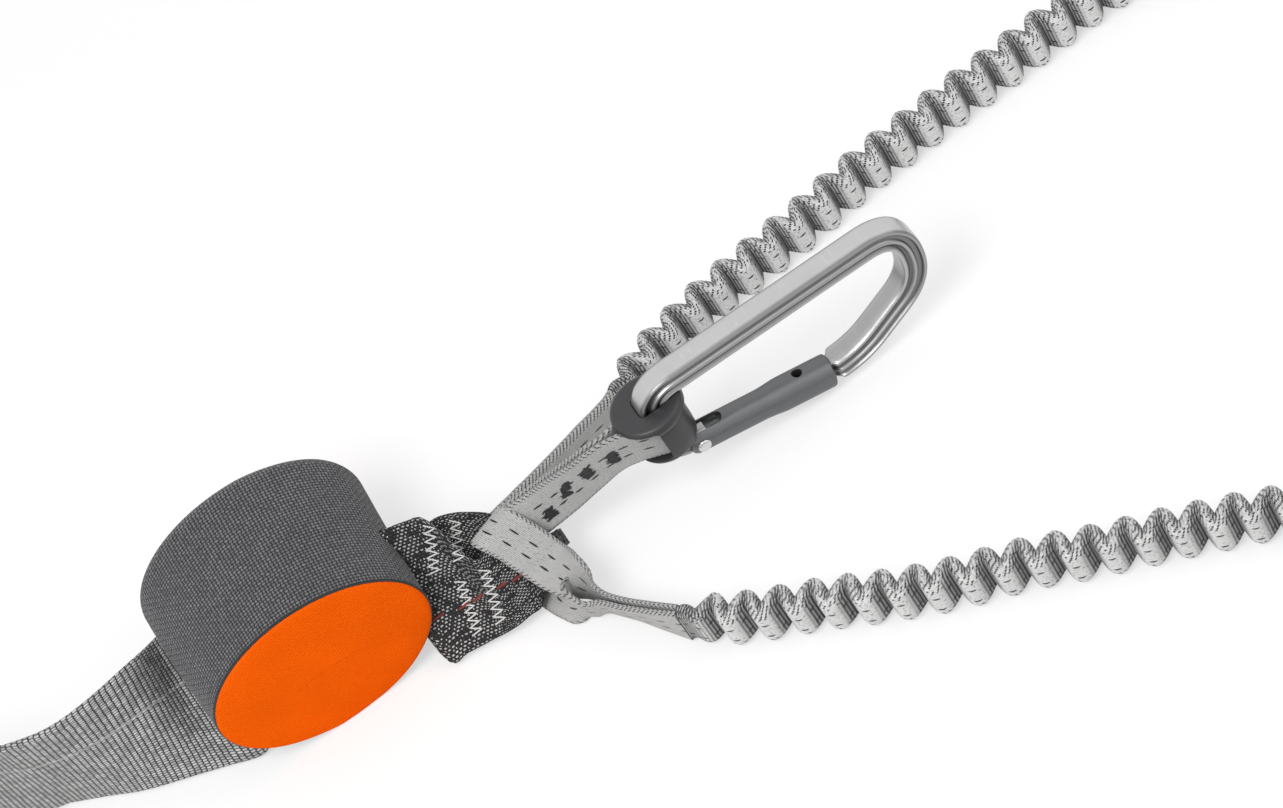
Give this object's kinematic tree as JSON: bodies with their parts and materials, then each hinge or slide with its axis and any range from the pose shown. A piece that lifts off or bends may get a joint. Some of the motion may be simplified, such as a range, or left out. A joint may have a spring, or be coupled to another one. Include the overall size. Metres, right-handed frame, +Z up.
{
  "type": "via ferrata lanyard",
  "caption": "Via ferrata lanyard with a fabric absorber pouch, gathered elastic arms that end in sprung connectors, and a short arm carrying a small carabiner.",
  "frame": {"origin": "under the middle of the absorber pouch, on the flat of its underside", "axes": "+X from the pouch along the lanyard to the small carabiner, +Z up, +Y towards the pouch's back cap"},
  "size_m": [0.6092, 0.385, 0.0534],
  "materials": {
    "sleeve_fabric": "coarse woven",
    "cap_fabric": "woven",
    "tie_in_webbing": "woven, speckled",
    "absorber_webbing": "woven, speckled",
    "arm_webbing": "woven, tubular",
    "rubber": "matt",
    "bright_alloy": "satin, forged",
    "anodised_alloy": "anodised, satin",
    "steel": "polished"
  },
  "bodies": {
    "lanyard": {"pouch_sleeve": "sleeve_fabric", "pouch_cap_front": "cap_fabric", "pouch_cap_back": "cap_fabric", "tear_webbing": "tie_in_webbing", "tie_in_webbing": "tie_in_webbing", "absorber_webbing": "absorber_webbing", "lower_arm_strap": "arm_webbing", "upper_arm_strap": "arm_webbing", "short_arm_strap": "arm_webbing", "upper_arm_elastic": "arm_webbing", "lower_arm_elastic": "arm_webbing"},
    "small_carabiner": {"carabiner_body": "bright_alloy", "carabiner_gate_rivet": "steel", "short_arm_keeper": "rubber"},
    "small_gate": {"carabiner_gate": "anodised_alloy", "carabiner_plunger": "steel", "carabiner_gate_spring": "steel"},
    "upper_end": {"upper_terminal_strap": "arm_webbing", "upper_keeper": "rubber", "upper_connector_body": "bright_alloy", "upper_connector_gate_rivet": "steel", "upper_connector_lever_rivet": "steel", "upper_connector_lever_spring": "steel"},
    "upper_gate": {"upper_connector_gate": "anodised_alloy", "upper_connector_plunger": "steel", "upper_connector_gate_spring": "steel"},
    "upper_lever": {"upper_connector_lever": "anodised_alloy"},
    "lower_end": {"lower_terminal_strap": "arm_webbing", "lower_keeper": "rubber", "lower_connector_body": "bright_alloy", "lower_connector_gate_rivet": "steel", "lower_connector_lever_rivet": "steel", "lower_connector_lever_spring": "steel"},
    "lower_gate": {"lower_connector_gate": "anodised_alloy", "lower_connector_plunger": "steel", "lower_connector_gate_spring": "steel"},
    "lower_lever": {"lower_connector_lever": "anodised_alloy"}
  },
  "joints": [
    {"name": "carabiner_swing", "type": "hinge", "parent": "lanyard", "child": "small_carabiner", "pos_m": [0.12261, -0.0315, 0.015], "axis": [0, 0, 1], "range_deg": [-12, 12]},
    {"name": "small_gate_hinge", "type": "hinge", "parent": "small_carabiner", "child": "small_gate", "pos_m": [0.1304, -0.0315, 0.015], "axis": [0, -1, 0], "range_deg": [0, 26], "stiffness_Nm_per_rad": 0.12, "springref_deg": -20.05},
    {"name": "upper_arm_stretch", "type": "slide", "parent": "lanyard", "child": "upper_end", "axis": [0, -1, 0], "range_m": [0, 0.06], "stiffness_N_per_m": 60, "deforming": ["upper_arm_elastic"]},
    {"name": "upper_gate_hinge", "type": "hinge", "parent": "upper_end", "child": "upper_gate", "pos_m": [0.40366, -0.2104, 0.0108], "axis": [0, 0, -1], "range_deg": [0, 26], "stiffness_Nm_per_rad": 0.12, "springref_deg": -20.05},
    {"name": "upper_lever_hinge", "type": "hinge", "parent": "upper_end", "child": "upper_lever", "pos_m": [0.35566, -0.23842, 0.0108], "axis": [0, 0, 1], "range_deg": [0, 4], "stiffness_Nm_per_rad": 0.6, "springref_deg": -6.88},
    {"name": "lower_arm_stretch", "type": "slide", "parent": "lanyard", "child": "lower_end", "axis": [-1, 0, 0], "range_m": [0, 0.05], "stiffness_N_per_m": 60, "deforming": ["lower_arm_elastic"]},
    {"name": "lower_gate_hinge", "type": "hinge", "parent": "lower_end", "child": "lower_gate", "pos_m": [0.0976, -0.28716, 0.0108], "axis": [0, 0, -1], "range_deg": [0, 26], "stiffness_Nm_per_rad": 0.12, "springref_deg": -20.05},
    {"name": "lower_lever_hinge", "type": "hinge", "parent": "lower_end", "child": "lower_lever", "pos_m": [0.06958, -0.23916, 0.0108], "axis": [0, 0, 1], "range_deg": [0, 4], "stiffness_Nm_per_rad": 0.6, "springref_deg": -6.88}
  ]
}
